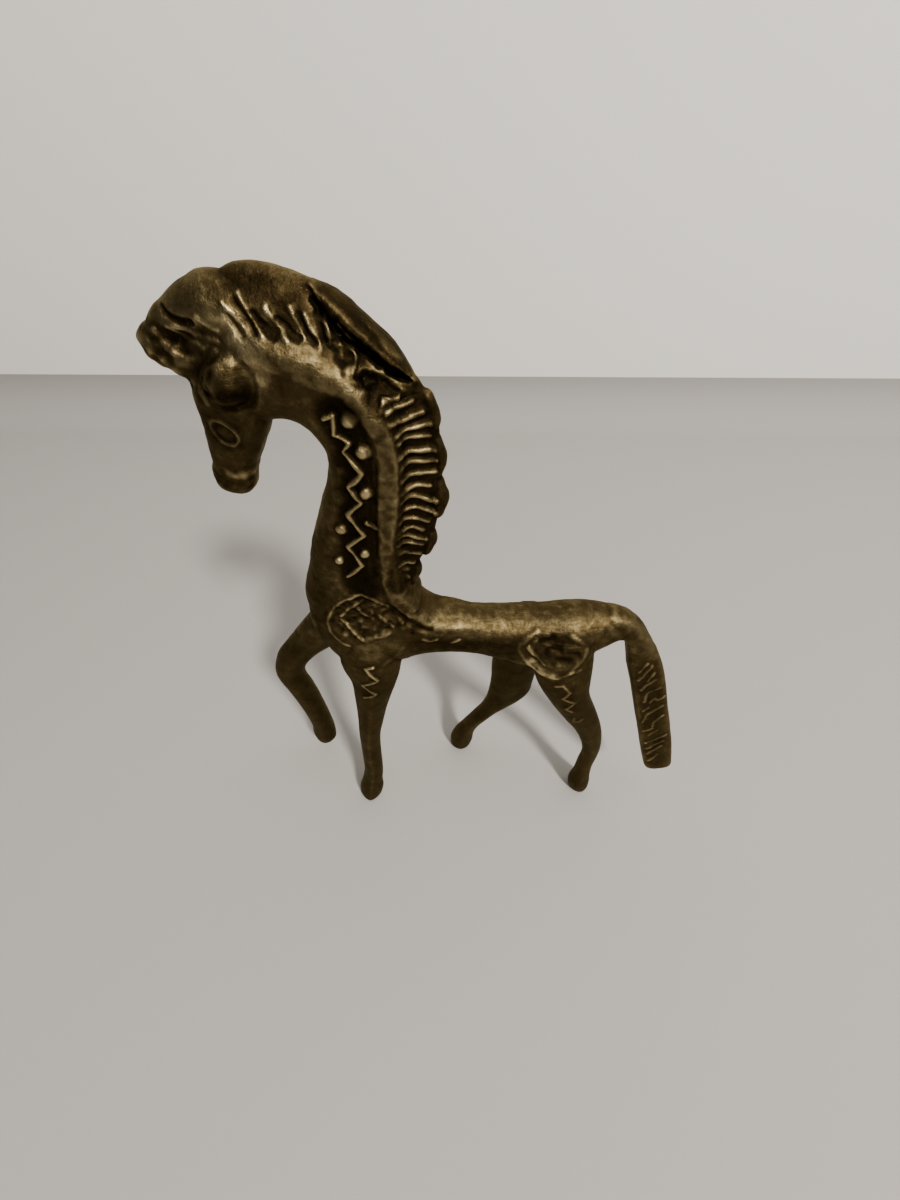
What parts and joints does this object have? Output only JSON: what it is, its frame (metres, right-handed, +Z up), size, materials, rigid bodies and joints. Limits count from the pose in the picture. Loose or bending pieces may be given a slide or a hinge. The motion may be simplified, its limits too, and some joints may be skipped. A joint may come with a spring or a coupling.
{
  "type": "bronze horse figurine",
  "caption": "Small cast bronze horse in a flat folk style, walking with its head bowed and one foreleg raised, with zigzags and strokes raised on its neck, mane and tail.",
  "frame": {"origin": "middle of the figurine's bounding box seen from above, at the underside of the three standing hooves", "axes": "+Z up, -X towards the head, +X towards the tail, -Y the horse's left side"},
  "size_m": [0.0822, 0.0176, 0.1056],
  "materials": {
    "aged_bronze": "cast and lightly rubbed bronze or brass, dark brown patina in the recesses, worn golden on the raised parts"
  },
  "bodies": {
    "root": {"horse": "aged_bronze"}
  },
  "joints": []
}
